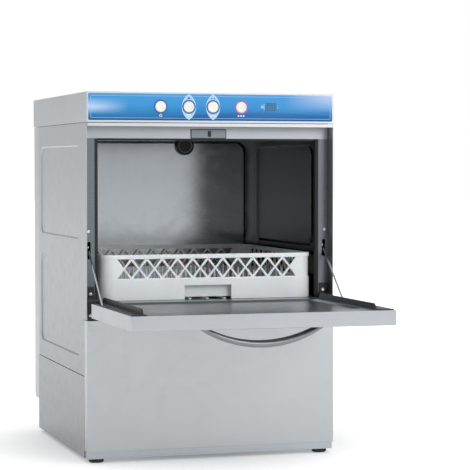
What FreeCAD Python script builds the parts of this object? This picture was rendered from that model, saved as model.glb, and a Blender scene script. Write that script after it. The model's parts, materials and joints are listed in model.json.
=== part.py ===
"""Under-counter commercial dishwasher, drop-down front door, 500 mm square rack.

Millimetres, +Z up. X runs to the right of a person facing the machine, Y runs
to its back, Z from the floor. Every piece is drawn from the front plane of the
cabinet (Y = 0) and moved by ROW_SHIFT_Y when it is written, so that the origin
ends under the middle of the whole object with its door open.
"""

import FreeCAD
import Part
import math
import os

os.makedirs("parts", exist_ok=True)

V = FreeCAD.Vector
X_AXIS, Y_AXIS, Z_AXIS = V(1, 0, 0), V(0, 1, 0), V(0, 0, 1)

# ---------------------------------------------------------------- cabinet
WIDTH, DEPTH, HEIGHT = 575.0, 605.0, 820.0
DOOR_REACH = 392.0
ROW_SHIFT_Y = -(DEPTH - DOOR_REACH) / 2
SHEET = 1.2
HALF = WIDTH / 2
SKIN = HALF - SHEET
FOOT_TOP = 9.0
FOOT_X, FOOT_FRONT, FOOT_BACK = 262.0, 26.0, 528.0
STEM_R = 5.0
TRAY_Z = 15.0
TRAY_HALF = 284.5
PANEL_BOTTOM = 26.0
LOWER_SEAM = 190.0
PANEL_TOP = 316.0
OPENING_HALF = 262.5
OPENING_TOP = 718.0
TRIM_BOTTOM, TRIM_TOP = 744.0, 751.5
COVER_BOTTOM = 753.0
LOWER_DEPTH = 549.0
SIDE_BACK = 541.0
REAR_HALF = 286.0
EMBOSS_Y = (74.0, 516.0)
EMBOSS_ROWS = ((231.0, 446.0), (493.0, 703.0))
EMBOSS_DEPTH = 2.2

# ---------------------------------------------------------------- door opening
JAMB_Y = 34.0
JAMB_FOOT = 302.0
SLOT_Z = (450.0, 489.0)
JAMB_SCREW = (277.0, 511.0)
BLOCK_SCREWS = ((273.0, 372.6), (279.0, 328.0))
LATCH_X, LATCH_Z = 2.0, 728.6

# ---------------------------------------------------------------- door
HINGE_Y, HINGE_Z = 13.0, 337.6
DOOR_HALF = 284.0
DOOR_UNDER, DOOR_INNER = 324.6, 356.0
DOOR_BACK = 30.6
NOTCH_X, NOTCH_Y = 260.0, -28.0
PIN_R = 5.0
STAY_X, STAY_Y, STAY_Z = 275.5, -106.0, 349.0
STAY_ANGLE, STAY_LENGTH = 40.0, 197.0
STAY_PIN_R = 2.5
HANDLE_Y, HANDLE_WIDE = -375.0, 25.0
HANDLE_OUTER = (135.0, 41.0)
HANDLE_INNER = (116.0, 27.0)

# ---------------------------------------------------------------- chamber
WALL_X = 263.8
BACK_Y = 540.2
CEILING_Z = 765.0
TANK_TOP = 300.0
TANK_FLOOR = 186.0
WELL_X, WELL_Y, WELL_R = 120.0, 180.0, 48.0
OVERFLOW_X, OVERFLOW_Y = -110.0, 160.0
CAP_X, CAP_Z = 83.0, 707.0
ARM_Y = 288.0
ARM_REACH = 235.0
SPINDLE_R = 6.0
FIT = 0.05

# ---------------------------------------------------------------- machine compartment
PUMP_Z = 92.0
FEED_Z = 780.0
REAR_FACE = 548.0
REAR_PORT_Z = 47.0
INLET_X, DRAIN_X, GLAND_X = -200.0, -140.0, 210.0
INLET_R, DRAIN_R, CORD_R = 13.2, 11.0, 4.5

# ---------------------------------------------------------------- rack
RACK_HALF = 249.5
RACK_FRONT = 36.0
RACK_Z = 356.3
RACK_TALL = 102.0
BAND_TALL = 47.0
LATTICE_PITCH, LATTICE_CELLS, LATTICE_BAR = 35.5, 12, 2.4
HOLD_HALF, HOLD_TALL, HOLD_DEEP = 55.0, 32.0, 12.0

# ---------------------------------------------------------------- controls
BUTTON_X = {
    "power_button": -120.0,
    "cycle_button_1": -55.0,
    "cycle_button_2": 1.0,
    "start_button": 67.0,
}
BUTTON_Z = 788.0
BUTTON_R = 12.3
LENS_X, LENS_Z = 137.0, 789.0


def box(x0, x1, y0, y1, z0, z1):
    return Part.makeBox(x1 - x0, y1 - y0, z1 - z0, V(x0, y0, z0))


def rod(point, axis, radius, length):
    return Part.makeCylinder(radius, length, V(*point), axis)


def mirrored(shape):
    return shape.mirror(V(0, 0, 0), X_AXIS)


def joined(pieces):
    whole = pieces[0].fuse(pieces[1:])
    return whole.removeSplitter()


def rounded_wire(plane, at, a0, a1, b0, b1, radius):
    """A rounded rectangle. Plane "x" spans Y and Z, "y" spans X and Z, "z" spans X and Y."""
    def point(a, b):
        if plane == "x":
            return V(at, a, b)
        return V(a, at, b) if plane == "y" else V(a, b, at)

    corners = [(a1, b0, -90), (a1, b1, 0), (a0, b1, 90), (a0, b0, 180)]
    arcs = []
    for a, b, start in corners:
        centre_a = a - math.copysign(radius, a - (a0 + a1) / 2)
        centre_b = b - math.copysign(radius, b - (b0 + b1) / 2)
        on_arc = []
        for turn in (0, 45, 90):
            angle = math.radians(start + turn)
            a_on = centre_a + radius * math.cos(angle)
            b_on = centre_b + radius * math.sin(angle)
            on_arc.append(point(a_on, b_on))
        arcs.append(on_arc)
    edges = []
    for index, arc in enumerate(arcs):
        edges.append(Part.Arc(*arc).toShape())
        edges.append(Part.makeLine(arc[2], arcs[(index + 1) % 4][0]))
    return Part.Wire(edges)


def rounded_prism(plane, at, depth, a0, a1, b0, b1, radius):
    face = Part.Face(rounded_wire(plane, at, a0, a1, b0, b1, radius))
    direction = {"x": X_AXIS, "y": Y_AXIS, "z": Z_AXIS}[plane]
    return face.extrude(direction * depth)


def pressed(plane, at, depth, a0, a1, b0, b1, radius, slope):
    """A shallow pressed field with sloping edges: wide at `at`, narrow at `at + depth`."""
    wide = rounded_wire(plane, at, a0, a1, b0, b1, radius)
    inside = (a0 + slope, a1 - slope, b0 + slope, b1 - slope)
    narrow = rounded_wire(plane, at + depth, *inside, radius - slope / 2)
    return Part.makeLoft([wide, narrow], True, True)


def hexagon(centre, first, second, radius, depth):
    """A six-sided nut: `first` and `second` span its face, `depth` is its thickness vector."""
    corners = []
    for k in range(7):
        angle = math.radians(60 * k)
        corners.append(centre + first * (radius * math.cos(angle)) + second * (radius * math.sin(angle)))
    return Part.Face(Part.makePolygon(corners)).extrude(depth)


def span(side, near, far):
    """Low and high X of a strip between two distances from the middle, on one side."""
    return sorted((side * near, side * far))


def pipe(points, radius, bends):
    """A round pipe along straight runs joined by tangent arcs."""
    corners = [V(*p) for p in points]
    edges = []
    last = corners[0]
    for index in range(1, len(corners) - 1):
        before = (corners[index] - corners[index - 1]).normalize()
        after = (corners[index + 1] - corners[index]).normalize()
        turn = before.getAngle(after)
        trim = bends * math.tan(turn / 2)
        start = corners[index] - before * trim
        end = corners[index] + after * trim
        inward = (after - before).normalize()
        centre = corners[index] + inward * (bends / math.cos(turn / 2))
        middle = centre - inward * bends
        edges.append(Part.makeLine(last, start))
        edges.append(Part.Arc(start, middle, end).toShape())
        last = end
    edges.append(Part.makeLine(last, corners[-1]))
    path = Part.Wire(edges)
    ring = Part.Wire([Part.makeCircle(radius, corners[0], corners[1] - corners[0])])
    return path.makePipeShell([ring], True, False)


def write(name, pieces):
    pieces = pieces if isinstance(pieces, list) else [pieces]
    shape = pieces[0] if len(pieces) == 1 else Part.makeCompound(pieces)
    shape.translate(V(0, ROW_SHIFT_Y, 0))
    shape.exportStep("parts/" + name + ".step")
    state = "valid" if shape.isValid() else "NOT VALID"
    print(name, state, len(shape.Solids), round(shape.Volume / 1000, 1))


# ================================================================ cabinet
def foot_places():
    return [(x, y) for x in (-FOOT_X, FOOT_X) for y in (FOOT_FRONT, FOOT_BACK)]


def base_frame():
    """A tray with upturned edges, two cross rails, a plinth round the front corners and a tall rear edge."""
    flange_top, rear_top = 44.0, 79.0
    plinth_half, plinth_low, plinth_top = SKIN - 0.4, FOOT_TOP + 0.5, 30.0
    front, back, half, inner = 10.0, REAR_FACE - 0.2, TRAY_HALF, TRAY_HALF - SHEET
    tray = [box(-half, half, front, back, TRAY_Z, TRAY_Z + 2)]
    tray.append(box(-half, half, back - SHEET, back, TRAY_Z, rear_top))
    tray.append(box(-half, half, front, front + SHEET, TRAY_Z, flange_top))
    for side in (-1, 1):
        tray.append(box(*span(side, half, inner), front, back, TRAY_Z, flange_top))
        corner = span(side, plinth_half, plinth_half - SHEET)
        tray.append(box(*corner, 5, 31, plinth_low, plinth_top))
    tray.append(box(-plinth_half, plinth_half, 5, 5 + SHEET, plinth_low, plinth_top))
    tray.append(box(-278, 278, 5, front + SHEET, TRAY_Z, TRAY_Z + SHEET))
    for y in (150.0, 420.0):
        rail = box(-inner, inner, y - 15, y + 15, TRAY_Z + 2, TRAY_Z + 14)
        channel = box(-inner, inner, y - 13.8, y + 13.8, TRAY_Z + 2, TRAY_Z + 12.8)
        tray.append(rail.cut(channel))
    frame = joined(tray)
    holes = [rod((x, y, 0), Z_AXIS, STEM_R + 0.2, 40) for x, y in foot_places()]
    holes.append(rod((INLET_X, 540, REAR_PORT_Z), Y_AXIS, INLET_R + 0.4, 20))
    holes.append(rod((DRAIN_X, 540, REAR_PORT_Z), Y_AXIS, DRAIN_R + 0.4, 20))
    holes.append(rod((GLAND_X, 540, REAR_PORT_Z), Y_AXIS, 8.2, 20))
    return frame.cut(holes)


def levelling_feet():
    feet = []
    for x, y in foot_places():
        pad = Part.makeCone(14.0, 16.0, 2.0, V(x, y, 0))
        body = rod((x, y, 2), Z_AXIS, 16.0, FOOT_TOP - 2)
        collar = hexagon(V(x, y, FOOT_TOP), X_AXIS, Y_AXIS, 9, V(0, 0, 5))
        stem = rod((x, y, FOOT_TOP), Z_AXIS, STEM_R, 22)
        feet.append(joined([pad, body, collar, stem]))
    return feet


def front_lower_panel():
    sheet = [box(-HALF, HALF, 0, SHEET, PANEL_BOTTOM, PANEL_TOP)]
    for side in (-1, 1):
        sheet.append(box(*span(side, HALF, SKIN), 0, 30, PANEL_BOTTOM, PANEL_TOP))
    sheet.append(box(-HALF, HALF, 0, 4, PANEL_BOTTOM, PANEL_BOTTOM + SHEET))
    sheet.append(box(-SKIN, SKIN, 0, 12, 309.0, 309.0 + SHEET))
    return joined(sheet)


def lower_side_panel():
    """The right-hand one; the left one is its mirror image."""
    skin = box(SKIN, HALF, 31.4, LOWER_DEPTH, FOOT_TOP, LOWER_SEAM)
    bottom = box(280.5, SKIN, 31.4, LOWER_DEPTH, FOOT_TOP, FOOT_TOP + SHEET)
    back = box(285.0, SKIN, LOWER_DEPTH - SHEET, LOWER_DEPTH, FOOT_TOP, 79)
    return joined([skin, bottom, back])


def side_panel():
    """The right-hand one: a flat skin with two shallow pressed fields."""
    bottom, top = LOWER_SEAM + 1.6, COVER_BOTTOM - 1.0
    skin = box(SKIN, HALF, 3, SIDE_BACK, bottom, top)
    corner = box(SKIN - 1, HALF + 1, 0, 31.4, bottom - 1, PANEL_TOP + 1.2)
    backs = []
    fields = []
    y0, y1 = EMBOSS_Y
    for z0, z1 in EMBOSS_ROWS:
        fields.append(pressed("x", HALF, -EMBOSS_DEPTH, y0, y1, z0, z1, 22, 3))
        back = (y0 - 1, y1 + 1, z0 - 1, z1 + 1)
        backs.append(pressed("x", SKIN, 0.1 - EMBOSS_DEPTH, *back, 23, 3))
    folds = [box(278, SKIN, SIDE_BACK - SHEET, SIDE_BACK, bottom, top)]
    folds.append(box(278, SKIN, 40, SIDE_BACK, top - SHEET, top))
    return joined([skin] + backs + folds).cut(fields + [corner])


def rear_cover():
    """A shallow box over the pipes, open to the front, with two columns of air slots."""
    half, y0, y1, z0, z1 = REAR_HALF, 541.6, 603.0, 80.0, 752.0
    outer = box(-half, half, y0, y1, z0, z1)
    outer = outer.makeChamfer(10.0, low_back_edges(outer, y1, z0))
    inner = box(-half + SHEET, half - SHEET, y0 - 1, y1 - SHEET, z0 + SHEET, z1 - SHEET)
    inner = inner.makeChamfer(10.0, low_back_edges(inner, y1 - SHEET, z0 + SHEET))
    slots = []
    for row in range(8):
        z = 560 + row * 16
        for x in (-150, 150):
            slots.append(box(x - 60, x + 60, y1 - 5, y1 + 5, z, z + 5))
    mouth = box(-half + SHEET, half - SHEET, y0 - 1, 549.4, z0 - 1, z0 + 2)
    holes = [rod((x, 595, z), Y_AXIS, 2.1, 20) for x, z in rear_screw_places()]
    pipe_hole = rod((0, 572, z1 - 5), Z_AXIS, 12, 10)
    return outer.cut([inner, mouth, pipe_hole] + slots + holes)


def low_back_edges(shape, y, z):
    chosen = []
    for edge in shape.Edges:
        bounds = edge.BoundBox
        if bounds.XLength > 100 and abs(bounds.YMin - y) < 0.1 and abs(bounds.ZMax - z) < 0.1:
            chosen.append(edge)
    return chosen


def rear_screw_places():
    return [(x, z) for x in (-272.0, 272.0) for z in (140.0, 420.0, 720.0)]


def top_cover():
    """The lid, whose front face has the holes for the buttons and the display."""
    shell = box(-HALF, HALF, 0.8, DEPTH, COVER_BOTTOM, HEIGHT)
    shell = shell.makeFillet(3.0, top_side_edges(shell))
    hollow = box(-SKIN, SKIN, 2.0, DEPTH - SHEET, COVER_BOTTOM - 1, HEIGHT - SHEET)
    hollow = hollow.makeFillet(2.0, top_side_edges(hollow))
    holes = [rod((x, -5, BUTTON_Z), Y_AXIS, 12.9, 20) for x in BUTTON_X.values()]
    holes.append(box(LENS_X - 13.2, LENS_X + 13.2, -5, 10, LENS_Z - 9.2, LENS_Z + 9.2))
    return shell.cut([hollow] + holes)


def top_side_edges(shape):
    return [e for e in shape.Edges if e.BoundBox.ZMin > HEIGHT - 3 and e.BoundBox.XLength < 1]


def front_trim_rail():
    half = HALF - 1.5
    face = box(-half, half, 0, SHEET, TRIM_BOTTOM, TRIM_TOP)
    roof = box(-half, half, 0, 14, TRIM_TOP - SHEET, TRIM_TOP)
    lip = box(-half, half, 0, 3, TRIM_BOTTOM, TRIM_BOTTOM + 1)
    return joined([face, roof, lip])


def control_fascia():
    plate = rounded_prism("y", 0, 0.8, -283.5, 283.5, 757.5, 816.5, 3)
    holes = [rod((x, -5, BUTTON_Z), Y_AXIS, 12.6, 20) for x in BUTTON_X.values()]
    holes.append(box(LENS_X - 13, LENS_X + 13, -5, 10, LENS_Z - 9, LENS_Z + 9))
    return plate.cut(holes)


def display_lens():
    return box(LENS_X - 12.8, LENS_X + 12.8, -0.3, 3.0, LENS_Z - 8.8, LENS_Z + 8.8)


def button(x):
    """A domed cap with a flange that rests behind the cover and a stem for its switch."""
    cap = rod((x, -1.6, BUTTON_Z), Y_AXIS, BUTTON_R, 8.0)
    cap = cap.makeFillet(1.2, [e for e in cap.Edges if e.BoundBox.YMax < -1.5])
    flange = rod((x, 2.05, BUTTON_Z), Y_AXIS, 15.0, 1.5)
    stem = rod((x, 6.0, BUTTON_Z), Y_AXIS, 3.0, 4.0)
    return joined([cap, flange, stem])


def control_board():
    board = [box(-145, 165, 20, 21.6, 762, 812)]
    for x in BUTTON_X.values():
        board.append(box(x - 7, x + 7, 13.4, 20, BUTTON_Z - 7, BUTTON_Z + 7))
    board.append(box(LENS_X - 12, LENS_X + 12, 3.2, 20, LENS_Z - 8, LENS_Z + 8))
    for x in (-138, 158):
        for z in (767, 807):
            board.append(rod((x, 2.0, z), Y_AXIS, 3.0, 18))
    return joined(board)


# ================================================================ door opening
def jamb():
    """The right-hand one: a folded strip with the slot that the stay passes through."""
    face = box(OPENING_HALF, 285.8, JAMB_Y, JAMB_Y + SHEET, JAMB_FOOT, OPENING_TOP - 0.2)
    lip = box(OPENING_HALF, OPENING_HALF + SHEET, JAMB_Y, 60, JAMB_FOOT, OPENING_TOP - 0.2)
    edge = box(285.8 - SHEET, 285.8, JAMB_Y, 60, JAMB_FOOT, OPENING_TOP - 0.2)
    slot = rounded_prism("y", JAMB_Y - 1, 4, STAY_X - 4, STAY_X + 4, *SLOT_Z, 3.9)
    holes = [rod((JAMB_SCREW[0], 30, JAMB_SCREW[1]), Y_AXIS, 2.1, 10)]
    holes += [rod((x, 30, z), Y_AXIS, 2.1, 10) for x, z in BLOCK_SCREWS]
    return joined([face, lip, edge]).cut([slot] + holes)


def door_header():
    top = CEILING_Z + SHEET
    face = box(-284.8, 284.8, JAMB_Y, JAMB_Y + SHEET, OPENING_TOP, top)
    roof = box(-284.8, 284.8, JAMB_Y, 60, top - SHEET, top)
    lip = box(-284.8, 284.8, JAMB_Y, 60, OPENING_TOP, OPENING_TOP + SHEET)
    hole = box(LATCH_X - 3, LATCH_X + 3, 30, 40, LATCH_Z - 7, LATCH_Z + 7)
    return joined([face, roof, lip]).cut(hole)


def latch_catch():
    plate = rounded_prism("y", 32.2, 1.75, -41, 41, 718.6, 739, 2)
    slot = box(LATCH_X - 1.6, LATCH_X + 1.6, 30, 36, LATCH_Z - 4.5, LATCH_Z + 4.5)
    return plate.cut(slot)


def latch_bolt():
    """A rounded blade that the closed door presses on, with a head behind the header."""
    blade = box(LATCH_X - 1.3, LATCH_X + 1.3, 28.5, 46, LATCH_Z - 4, LATCH_Z + 4)
    nose = [e for e in blade.Edges if e.BoundBox.YMax < 29 and e.BoundBox.ZLength < 1]
    blade = blade.makeFillet(2.4, nose)
    head = box(LATCH_X - 5, LATCH_X + 5, 40, 46, LATCH_Z - 6, LATCH_Z + 6)
    return joined([blade, head])


def jamb_seals():
    side = box(255.2, OPENING_HALF - 0.1, JAMB_Y, 44, 358, 716)
    top = box(-255, 255, JAMB_Y + 4, 44, 713.5, OPENING_TOP - 0.1)
    return [side, mirrored(side), top]


def hinge_block():
    """The right-hand one: a moulded block that holds the door's pin."""
    plate = box(264.2, 284.8, 32, JAMB_Y - 0.05, PANEL_TOP + 0.5, 389)
    body = box(264.2, 284.8, 3, 32, PANEL_TOP + 0.5, 366)
    crest = [e for e in body.Edges if e.BoundBox.YMax < 4 and e.BoundBox.ZMin > 365]
    body = body.makeFillet(8, crest)
    bore = rod((255, HINGE_Y, HINGE_Z), X_AXIS, PIN_R + FIT, 27)
    holes = [rod((x, 0, z), Y_AXIS, 2.1, 40) for x, z in BLOCK_SCREWS]
    sink = rod((BLOCK_SCREWS[1][0], 0, BLOCK_SCREWS[1][1]), Y_AXIS, 4.6, 6.5)
    return joined([plate, body]).cut([bore, sink] + holes)


def threshold():
    half = 262.0
    wall = box(-half, half, 39.5, 40.7, 303, 352)
    gutter = box(-half, half, 14, 40.7, 303, 304.2)
    lip = box(-half, half, 14, 15.2, 303, 308)
    shelf = box(-half, half, 39.5, 58, 350.8, 352)
    return joined([wall, gutter, lip, shelf])


# ================================================================ wash chamber
def chamber_side_wall():
    """The right-hand one, pressed inwards over most of its height."""
    sheet = box(WALL_X, WALL_X + SHEET, 61, BACK_Y - 0.1, TANK_TOP + 1.4, CEILING_Z - 0.1)
    front = box(WALL_X, WALL_X + SHEET, 60.2, 62, TANK_TOP + 1.4, CEILING_Z - 0.1)
    raised = pressed("x", WALL_X, -3.0, 72, 500, 470, 706, 26, 6)
    hollow = pressed("x", WALL_X + SHEET, -3.0, 73, 499, 471, 705, 25, 6)
    return joined([sheet, front, raised]).cut(hollow)


def chamber_back_wall():
    sheet = box(-WALL_X, WALL_X, BACK_Y, BACK_Y + SHEET, TANK_TOP + 1.4, CEILING_Z - 0.1)
    raised = pressed("y", BACK_Y, -3.0, -246, 246, 380, 719, 26, 6)
    hollow = pressed("y", BACK_Y + SHEET, -3.0, -245, 245, 381, 718, 25, 6)
    return joined([sheet, raised]).cut(hollow)


def vent_cap():
    disc = rod((CAP_X, 525, CAP_Z), Y_AXIS, 23.0, 12.1)
    disc = disc.makeFillet(3.0, [e for e in disc.Edges if e.BoundBox.YMax < 525.1])
    return disc.cut(rod((CAP_X, 524, CAP_Z), Y_AXIS, 18.0, 3))


def chamber_ceiling():
    sheet = box(-265, 265, 61, BACK_Y + SHEET, CEILING_Z, CEILING_Z + SHEET)
    return sheet.cut(rod((0, ARM_Y, CEILING_Z - 1), Z_AXIS, 11.3, 5))


def tank_loft(inset, bottom):
    top = rounded_wire("z", TANK_TOP, -255 + inset, 255 - inset, 50 + inset, 532 - inset, 30)
    low = rounded_wire("z", bottom, -205 + inset, 205 - inset, 95 + inset, 487 - inset, 30)
    return Part.makeLoft([top, low], True, True)


def wash_tank():
    """A sloping basin with a flat rim, a sump well, and holes for the post and the overflow."""
    shell = tank_loft(0, TANK_FLOOR - SHEET)
    rim = box(-265, 265, 44, BACK_Y + SHEET, TANK_TOP, TANK_TOP + SHEET)
    mouth = rounded_prism("z", TANK_TOP - 1, 4, -255 + SHEET, 255 - SHEET, 50 + SHEET, 532 - SHEET, 29)
    well = rod((WELL_X, WELL_Y, 150), Z_AXIS, WELL_R, 40)
    basin = joined([shell, rim, well])
    cuts = [tank_loft(SHEET, TANK_FLOOR), mouth]
    cuts.append(rod((WELL_X, WELL_Y, 151.5), Z_AXIS, WELL_R - 1.5, 40))
    cuts.append(rod((0, ARM_Y, 180), Z_AXIS, 12.6, 10))
    cuts.append(rod((OVERFLOW_X, OVERFLOW_Y, 180), Z_AXIS, 11.0, 10))
    return basin.cut(cuts)


def tank_filter():
    """Lift-out strainer tray over the tank, with openings for the post, basket and overflow."""
    tray = rounded_prism("z", 292, 8.0, -245, 245, 62, 520, 24)
    dish = rounded_prism("z", 293.2, 8, -243, 243, 64, 518, 22)
    holes = [rod((0, ARM_Y, 280), Z_AXIS, 20, 30)]
    holes.append(rod((WELL_X, WELL_Y, 280), Z_AXIS, WELL_R - 1, 30))
    holes.append(rod((OVERFLOW_X, OVERFLOW_Y, 280), Z_AXIS, 17, 30))
    return tray.cut([dish] + holes)


def suction_filter():
    """The strainer basket that stands in the well, with a bar to lift it by."""
    tube = rod((WELL_X, WELL_Y, 152), Z_AXIS, WELL_R - 4, 146)
    hollow = rod((WELL_X, WELL_Y, 153.5), Z_AXIS, WELL_R - 5.5, 160)
    grip = box(WELL_X - 42.8, WELL_X + 42.8, WELL_Y - 4, WELL_Y + 4, 286, 296)
    return joined([tube.cut(hollow), grip])


def overflow_pipe():
    tube = rod((OVERFLOW_X, OVERFLOW_Y, 176), Z_AXIS, 10.8, 120)
    seat = rod((OVERFLOW_X, OVERFLOW_Y, TANK_FLOOR + 0.1), Z_AXIS, 15, 8)
    knob = rod((OVERFLOW_X, OVERFLOW_Y, 290), Z_AXIS, 14, 10)
    return joined([tube, seat, knob]).cut(rod((OVERFLOW_X, OVERFLOW_Y, 170), Z_AXIS, 8.5, 110))


def tank_heater():
    """A hairpin element on a flange."""
    left, right, near, far, z = -150.0, 170.0, 360.0, 420.0, 215.0
    route = [(right, near, z), (left, near, z), (left, far, z), (right, far, z)]
    loop = pipe(route, 4.2, 26)
    flange = box(right - 1, right + 8, near - 14, far + 14, z - 10, z + 10)
    return joined([loop, flange])


def rack_rails():
    shelf = box(238, WALL_X - 0.1, 62, 536, RACK_Z - 1.5, RACK_Z - 0.3)
    leg = box(WALL_X - 1.3, WALL_X - 0.1, 62, 536, 320, RACK_Z - 0.3)
    rail = joined([shelf, leg])
    return [rail, mirrored(rail)]


def wash_arm_posts():
    """Lower and upper post: a body, a thinner spindle for two arms and a retaining disc."""
    low = [rod((0, ARM_Y, 160), Z_AXIS, 12.4, 152)]
    low.append(rod((0, ARM_Y, TANK_FLOOR + 0.1), Z_AXIS, 24, 6))
    low.append(rod((0, ARM_Y, 312), Z_AXIS, SPINDLE_R, 38))
    low.append(rod((0, ARM_Y, 349.3), Z_AXIS, 12, 4.5))
    high = [rod((0, ARM_Y, 757.5), Z_AXIS, 14, CEILING_Z - 0.1 - 757.5)]
    high.append(rod((0, ARM_Y, CEILING_Z - 1), Z_AXIS, 11, 4))
    high.append(box(-11, 11, ARM_Y - 11, ARM_Y + 11, CEILING_Z + SHEET + 0.2, FEED_Z + 11))
    high.append(rod((0, ARM_Y, 724), Z_AXIS, SPINDLE_R, 34))
    high.append(rod((0, ARM_Y, 722), Z_AXIS, 12, 4.5))
    return [joined(low), joined(high)]


def spray_arm(z, tall, wide, facing, turn):
    """A round-ended arm on a hub, with raised nozzles on the side that faces the dishes."""
    blade = box(-ARM_REACH, ARM_REACH, -wide / 2, wide / 2, z, z + tall)
    upright = [e for e in blade.Edges if e.BoundBox.ZLength > tall - 0.1]
    pieces = [blade.makeFillet(wide * 0.45, upright)]
    pieces.append(rod((0, 0, z), Z_AXIS, 21, tall))
    base = z + tall if facing > 0 else z
    for k in range(5):
        for x in (-60 - 38 * k, 68 + 38 * k):
            pieces.append(Part.makeCone(6.5, 3.5, 2.2, V(x, 0, base), V(0, 0, facing)))
    arm = joined(pieces).cut(rod((0, 0, z - 5), Z_AXIS, SPINDLE_R + FIT, tall + 10))
    arm.rotate(V(0, 0, 0), Z_AXIS, turn)
    arm.translate(V(0, ARM_Y, 0))
    return arm


# ================================================================ machine compartment
def wash_pump():
    """A finned motor with a scroll case, drawn hollow for the impeller, on a cradle."""
    motor = rod((-190, ARM_Y, PUMP_Z), X_AXIS, 44, 160)
    fins = [rod((-182 + 12 * k, ARM_Y, PUMP_Z), X_AXIS, 48, 5) for k in range(11)]
    volute = rod((-30, ARM_Y, PUMP_Z), X_AXIS, 58, 50)
    outlet = rod((0, ARM_Y, PUMP_Z), Z_AXIS, 16, 67.9)
    rear = rod((0, ARM_Y, 110), Y_AXIS, 13, 72)
    cradle = box(-180, -60, ARM_Y - 34, ARM_Y + 34, 29.1, 62)
    hollow = rod((-25, ARM_Y, PUMP_Z), X_AXIS, 53, 40)
    shaft = rod((-90, ARM_Y, PUMP_Z), X_AXIS, 7 + FIT, 70)
    return joined([motor, volute, outlet, rear, cradle] + fins).cut([hollow, shaft])


def pump_impeller():
    shaft = rod((-88, ARM_Y, PUMP_Z), X_AXIS, 7, 86)
    disc = rod((-20, ARM_Y, PUMP_Z), X_AXIS, 46, 4)
    pieces = [shaft, disc]
    for k in range(6):
        blade = box(-17, -2, 8, 44, -1.5, 1.5)
        blade.rotate(V(0, 0, 0), X_AXIS, 60 * k)
        blade.translate(V(0, ARM_Y, PUMP_Z))
        pieces.append(blade)
    return joined(pieces)


def feed_pipes():
    """From the pump to the back, up behind the chamber and forward to the upper post."""
    route = [(0, ARM_Y + 72, 110), (0, 572, 110), (0, 572, FEED_Z), (0, ARM_Y + 11, FEED_Z)]
    return pipe(route, 9, 25)


def drain_pump():
    body = rod((DRAIN_X, 380, 60), Y_AXIS, 30, 90)
    case = rod((DRAIN_X, 470, 60), Y_AXIS, 38, 24)
    neck = rod((DRAIN_X, 494, REAR_PORT_Z), Y_AXIS, 10, 54.5)
    collar = rod((DRAIN_X, REAR_FACE, REAR_PORT_Z), Y_AXIS, 14, 3)
    spigot = rod((DRAIN_X, REAR_FACE + 3, REAR_PORT_Z), Y_AXIS, DRAIN_R, 28)
    foot = box(DRAIN_X - 25, DRAIN_X + 25, 400, 440, 29.1, 40)
    return joined([body, case, neck, collar, spigot, foot])


def boiler():
    shell = rod((205, 290, 106), Y_AXIS, 66, 200)
    shell = shell.makeFillet(14, shell.Edges)
    cap = rod((205, 278, 106), Y_AXIS, 28, 14)
    feet = [box(165, 245, y - 10, y + 10, 29.1, 60) for y in (330, 450)]
    return joined([shell, cap] + feet)


def inlet_valve():
    body = box(INLET_X - 18, INLET_X + 18, 500, 540, 30, 66)
    coil = rod((INLET_X, 520, 66), Z_AXIS, 14, 34)
    neck = rod((INLET_X, 539, REAR_PORT_Z), Y_AXIS, 12, 9.5)
    collar = rod((INLET_X, REAR_FACE, REAR_PORT_Z), Y_AXIS, 17, 3)
    inlet = rod((INLET_X, REAR_FACE + 3, REAR_PORT_Z), Y_AXIS, INLET_R, 15)
    bore = rod((INLET_X, 545, REAR_PORT_Z), Y_AXIS, 8, 30)
    return joined([body, coil, neck, collar, inlet]).cut(bore)


def dosing_pumps():
    pumps = []
    for x in (-215.0, -130.0):
        case = box(x - 30, x + 30, 30, 78, 70, 138)
        head = rod((x, 18, 104), Y_AXIS, 26, 13)
        foot = box(x - 30, x + 30, 30, 60, 17.1, 70)
        pumps.append(joined([case, head, foot]))
    return pumps


def terminal_box():
    case = box(90, 250, 40, 110, 17.1, 150)
    lid = rounded_prism("y", 34, 6, 86, 254, 20.6, 154, 6)
    return joined([case, lid])


def cable_gland():
    thread = rod((GLAND_X, 535, REAR_PORT_Z), Y_AXIS, 8, 22)
    body = hexagon(V(GLAND_X, REAR_FACE, REAR_PORT_Z), X_AXIS, Z_AXIS, 12, V(0, 7, 0))
    cap = Part.makeCone(10.5, 7.5, 9, V(GLAND_X, 555, REAR_PORT_Z), Y_AXIS)
    return joined([thread, body, cap]).cut(rod((GLAND_X, 530, REAR_PORT_Z), Y_AXIS, CORD_R, 50))


def screw(x, y, z, reach):
    """A pan-head screw that points along +Y from the face at y."""
    head = rod((x, y - 2.4, z), Y_AXIS, 4.2, 2.4)
    head = head.makeFillet(1.6, [e for e in head.Edges if e.BoundBox.YMax < y - 2.3])
    shank = rod((x, y, z), Y_AXIS, 1.9, reach)
    cross = [box(x - 2.2, x + 2.2, y - 3, y - 1.4, z - 0.45, z + 0.45)]
    cross.append(box(x - 0.45, x + 0.45, y - 3, y - 1.4, z - 2.2, z + 2.2))
    return joined([head, shank]).cut(cross)


def panel_screws():
    screws = []
    for side in (-1, 1):
        screws.append(screw(side * JAMB_SCREW[0], JAMB_Y, JAMB_SCREW[1], 8))
        screws.append(screw(side * BLOCK_SCREWS[0][0], 32, BLOCK_SCREWS[0][1], 10))
        screws.append(screw(side * BLOCK_SCREWS[1][0], 6.5, BLOCK_SCREWS[1][1], 34))
    for x, z in rear_screw_places():
        rear = screw(x, 0, z, 8)
        rear.rotate(V(x, 0, z), Z_AXIS, 180)
        rear.translate(V(0, 603, 0))
        screws.append(rear)
    return screws


# ================================================================ door, drawn open
def stay_slot():
    """The opening in the liner and the rail above the stay's pin."""
    return box(STAY_X - 3.6, STAY_X + 3.6, STAY_Y - 7, STAY_Y + 16, 345, 365)


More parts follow.
